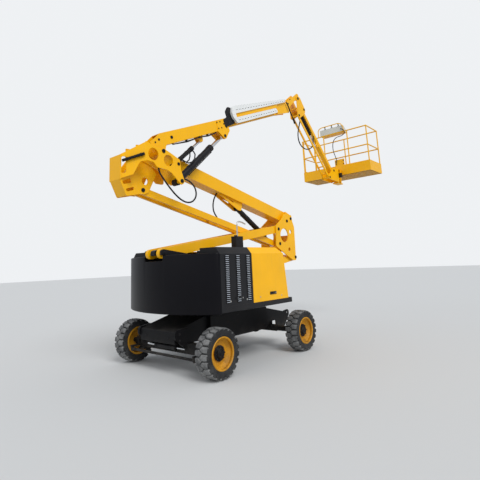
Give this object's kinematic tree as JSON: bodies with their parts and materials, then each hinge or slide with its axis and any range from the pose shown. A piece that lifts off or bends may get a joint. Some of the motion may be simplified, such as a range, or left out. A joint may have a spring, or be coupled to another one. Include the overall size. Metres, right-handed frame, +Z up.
{
  "type": "articulating boom lift",
  "caption": "Self-propelled work platform on wheels: slewing turret, double riser, telescopic boom, levelled jib and a railed basket.",
  "frame": {"origin": "on the ground under the slewing centre, midway between the axles", "axes": "+X along the machine towards the platform end, +Y to its left, +Z up"},
  "size_m": [6.9531, 2.0698, 5.1066],
  "materials": {
    "yellow_paint": "satin",
    "black_paint": "satin",
    "tyre_rubber": "matt",
    "rod_chrome": "polished",
    "weight_cast": "matt",
    "chassis_paint": "satin",
    "rim_paint": "satin",
    "hose_rubber": "matt",
    "carrier_plastic": "matt",
    "console_plastic": "matt"
  },
  "bodies": {
    "chassis": {"chassis_frame": "chassis_paint", "axles": "black_paint"},
    "knuckle_left": {"knuckle_left": "black_paint"},
    "knuckle_right": {"knuckle_right": "black_paint"},
    "tie_rod": {"tie_rod": "black_paint"},
    "wheel_steer_left": {"tyre_steer_left": "tyre_rubber", "rim_steer_left": "rim_paint"},
    "wheel_steer_right": {"tyre_steer_right": "tyre_rubber", "rim_steer_right": "rim_paint"},
    "wheel_drive_left": {"tyre_drive_left": "tyre_rubber", "rim_drive_left": "rim_paint"},
    "wheel_drive_right": {"tyre_drive_right": "tyre_rubber", "rim_drive_right": "rim_paint"},
    "turret": {"turret_frame": "black_paint", "counterweight": "weight_cast", "vent_covers": "black_paint", "inner_covers": "black_paint", "turret_post": "black_paint", "engine_block": "weight_cast"},
    "hood_left": {"hood_left": "yellow_paint"},
    "hood_right": {"hood_right": "yellow_paint"},
    "lower_arms": {"lower_arms": "yellow_paint"},
    "lower_link": {"lower_link": "yellow_paint"},
    "lower_knuckle": {"lower_knuckle": "yellow_paint"},
    "upper_beam": {"upper_beam": "yellow_paint"},
    "upper_link": {"upper_link": "yellow_paint"},
    "upper_knuckle": {"upper_knuckle": "yellow_paint", "knuckle_hose": "hose_rubber"},
    "riser_barrel": {"riser_barrel": "black_paint"},
    "riser_rod": {"riser_rod": "rod_chrome"},
    "main_boom": {"main_boom": "yellow_paint", "carrier_guide": "black_paint"},
    "fly_boom": {"fly_boom": "yellow_paint", "hose_carrier": "carrier_plastic"},
    "lift_barrel": {"lift_barrel": "black_paint"},
    "lift_rod": {"lift_rod": "rod_chrome"},
    "level_barrel": {"level_barrel": "black_paint"},
    "level_rod": {"level_rod": "rod_chrome"},
    "jib_bracket": {"jib_bracket": "yellow_paint"},
    "jib_arm": {"jib_arm": "yellow_paint"},
    "jib_link": {"jib_link": "yellow_paint"},
    "platform_bracket": {"platform_bracket": "yellow_paint"},
    "jib_barrel": {"jib_barrel": "black_paint"},
    "jib_rod": {"jib_rod": "rod_chrome"},
    "platform": {"platform_mount": "yellow_paint", "platform_tray": "yellow_paint", "guard_rails": "yellow_paint", "control_box": "console_plastic", "console_cable": "hose_rubber"},
    "gate": {"gate": "yellow_paint"}
  },
  "joints": [
    {"name": "steering", "type": "hinge", "parent": "chassis", "child": "knuckle_left", "pos_m": [-1, 0.69, 0.316], "axis": [0, 0, 1], "range_deg": [-30, 30]},
    {"name": "steering_right", "type": "hinge", "parent": "chassis", "child": "knuckle_right", "pos_m": [-1, -0.69, 0.316], "axis": [0, 0, 1], "range_deg": [-30.2, 30.2]},
    {"name": "tie_rod_joint", "type": "hinge", "parent": "knuckle_left", "child": "tie_rod", "pos_m": [-1.2, 0.674, 0.236], "axis": [0, 0, 1], "range_deg": [-30.2, 30.2]},
    {"name": "steer_left_roll", "type": "hinge", "parent": "knuckle_left", "child": "wheel_steer_left", "pos_m": [-1, 0.891, 0.316], "axis": [0, 1, 0], "continuous": true},
    {"name": "steer_right_roll", "type": "hinge", "parent": "knuckle_right", "child": "wheel_steer_right", "pos_m": [-1, -0.891, 0.316], "axis": [0, 1, 0], "continuous": true},
    {"name": "drive_left_roll", "type": "hinge", "parent": "chassis", "child": "wheel_drive_left", "pos_m": [1, 0.891, 0.316], "axis": [0, 1, 0], "continuous": true},
    {"name": "drive_right_roll", "type": "hinge", "parent": "chassis", "child": "wheel_drive_right", "pos_m": [1, -0.891, 0.316], "axis": [0, 1, 0], "continuous": true},
    {"name": "slewing", "type": "hinge", "parent": "chassis", "child": "turret", "pos_m": [0, 0, 0.75], "axis": [0, 0, 1], "range_deg": [-177.5, 177.5]},
    {"name": "hood_left_hinge", "type": "hinge", "parent": "turret", "child": "hood_left", "pos_m": [0, 0.6, 1.655], "axis": [1, 0, 0], "range_deg": [0, 60]},
    {"name": "hood_right_hinge", "type": "hinge", "parent": "turret", "child": "hood_right", "pos_m": [0, -0.6, 1.655], "axis": [-1, 0, 0], "range_deg": [0, 60]},
    {"name": "riser", "type": "hinge", "parent": "turret", "child": "lower_arms", "pos_m": [-1.275, 0, 1.605], "axis": [0, -1, 0], "range_deg": [-6.5, 20]},
    {"name": "lower_link_swing", "type": "hinge", "parent": "turret", "child": "lower_link", "pos_m": [-0.735, 0, 1.057], "axis": [0, -1, 0], "range_deg": [-6.7, 20.2]},
    {"name": "lower_knuckle_level", "type": "hinge", "parent": "lower_arms", "child": "lower_knuckle", "pos_m": [1.58159, 0, 2.06255], "axis": [0, -1, 0], "range_deg": [-20.2, 6.7]},
    {"name": "upper_beam_swing", "type": "hinge", "parent": "lower_knuckle", "child": "upper_beam", "pos_m": [2.03459, 0, 2.29055], "axis": [0, 1, 0], "range_deg": [-7.67, 23.2]},
    {"name": "upper_link_swing", "type": "hinge", "parent": "lower_knuckle", "child": "upper_link", "pos_m": [1.59959, 0, 1.77855], "axis": [0, 1, 0], "range_deg": [-7.67, 23.2]},
    {"name": "upper_knuckle_level", "type": "hinge", "parent": "upper_beam", "child": "upper_knuckle", "pos_m": [-1.14814, 0, 2.99614], "axis": [0, 1, 0], "range_deg": [-23.2, 7.67]},
    {"name": "riser_barrel_swing", "type": "hinge", "parent": "upper_beam", "child": "riser_barrel", "pos_m": [0.56971, 0, 2.40533], "axis": [0, -1, 0], "range_deg": [-0.377, 0.258]},
    {"name": "riser_rod_slide", "type": "slide", "parent": "riser_barrel", "child": "riser_rod", "axis": [0.8542, 0, -0.5199], "range_m": [-0.08739, 0.26473]},
    {"name": "boom_luff", "type": "hinge", "parent": "upper_knuckle", "child": "main_boom", "pos_m": [-1.41714, -0.24, 3.02514], "axis": [0, -1, 0], "range_deg": [-22, 42]},
    {"name": "lift_barrel_swing", "type": "hinge", "parent": "upper_knuckle", "child": "lift_barrel", "pos_m": [-1.08014, -0.24, 2.63614], "axis": [0, -1, 0], "range_deg": [-20.74, 39.41]},
    {"name": "lift_rod_slide", "type": "slide", "parent": "lift_barrel", "child": "lift_rod", "axis": [0.742, 0, 0.6704], "range_m": [-0.19679, 0.37387]},
    {"name": "level_barrel_swing", "type": "hinge", "parent": "upper_knuckle", "child": "level_barrel", "pos_m": [-1.14114, -0.24, 2.88214], "axis": [0, -1, 0], "range_deg": [-23.73, 45.11]},
    {"name": "level_rod_slide", "type": "slide", "parent": "level_barrel", "child": "level_rod", "axis": [0.7532, 0, 0.6578], "range_m": [-0.11454, 0.21685]},
    {"name": "fly_slide", "type": "slide", "parent": "main_boom", "child": "fly_boom", "axis": [-0.9225, 0, -0.3859], "range_m": [-0.12, 1.05]},
    {"name": "jib_bracket_level", "type": "hinge", "parent": "fly_boom", "child": "jib_bracket", "pos_m": [2.43313, -0.24, 4.98153], "axis": [0, -1, 0], "range_deg": [-42.2, 22.2]},
    {"name": "jib_luff", "type": "hinge", "parent": "jib_bracket", "child": "jib_arm", "pos_m": [2.66313, -0.24, 4.78553], "axis": [0, -1, 0], "range_deg": [-22, 60]},
    {"name": "jib_link_swing", "type": "hinge", "parent": "jib_bracket", "child": "jib_link", "pos_m": [2.43313, -0.24, 4.59053], "axis": [0, -1, 0], "range_deg": [-22.2, 60.2]},
    {"name": "platform_bracket_level", "type": "hinge", "parent": "jib_arm", "child": "platform_bracket", "pos_m": [3.86301, -0.24, 3.55597], "axis": [0, -1, 0], "range_deg": [-60.2, 22.2]},
    {"name": "jib_barrel_swing", "type": "hinge", "parent": "jib_bracket", "child": "jib_barrel", "pos_m": [2.62102, -0.24, 4.70769], "axis": [0, -1, 0], "range_deg": [-22.17, 60.12]},
    {"name": "jib_rod_slide", "type": "slide", "parent": "jib_barrel", "child": "jib_rod", "axis": [0.6839, 0, -0.7295], "range_m": [-0.03226, 0.08452]},
    {"name": "platform_turn", "type": "hinge", "parent": "platform_bracket", "child": "platform", "pos_m": [4.15, -0.24, 3.46], "axis": [0, 0, 1], "range_deg": [-80, 80]},
    {"name": "gate_hinge", "type": "hinge", "parent": "platform", "child": "gate", "pos_m": [4.3513, 0.7107, 4.2], "axis": [0, 0, -1], "range_deg": [0, 80]}
  ],
  "couplings": [
    {"joint": "steering_right", "follows": "steering", "ratio": 1},
    {"joint": "tie_rod_joint", "follows": "steering", "ratio": -1},
    {"joint": "lower_link_swing", "follows": "riser", "ratio": 1},
    {"joint": "lower_knuckle_level", "follows": "riser", "ratio": -1},
    {"joint": "upper_beam_swing", "follows": "riser", "ratio": 1.15},
    {"joint": "upper_link_swing", "follows": "riser", "ratio": 1.15},
    {"joint": "upper_knuckle_level", "follows": "riser", "ratio": -1.15},
    {"joint": "riser_barrel_swing", "follows": "riser", "ratio": -0.00886},
    {"joint": "riser_rod_slide", "follows": "riser", "m_per_rad": 0.75267},
    {"joint": "lift_barrel_swing", "follows": "boom_luff", "ratio": 0.9335},
    {"joint": "lift_rod_slide", "follows": "boom_luff", "m_per_rad": 0.5073},
    {"joint": "level_barrel_swing", "follows": "boom_luff", "ratio": 1.0693},
    {"joint": "level_rod_slide", "follows": "boom_luff", "m_per_rad": 0.2931},
    {"joint": "jib_bracket_level", "follows": "boom_luff", "ratio": -1},
    {"joint": "jib_link_swing", "follows": "jib_luff", "ratio": 1},
    {"joint": "platform_bracket_level", "follows": "jib_luff", "ratio": -1},
    {"joint": "jib_barrel_swing", "follows": "jib_luff", "ratio": 0.9987},
    {"joint": "jib_rod_slide", "follows": "jib_luff", "m_per_rad": 0.0788}
  ]
}
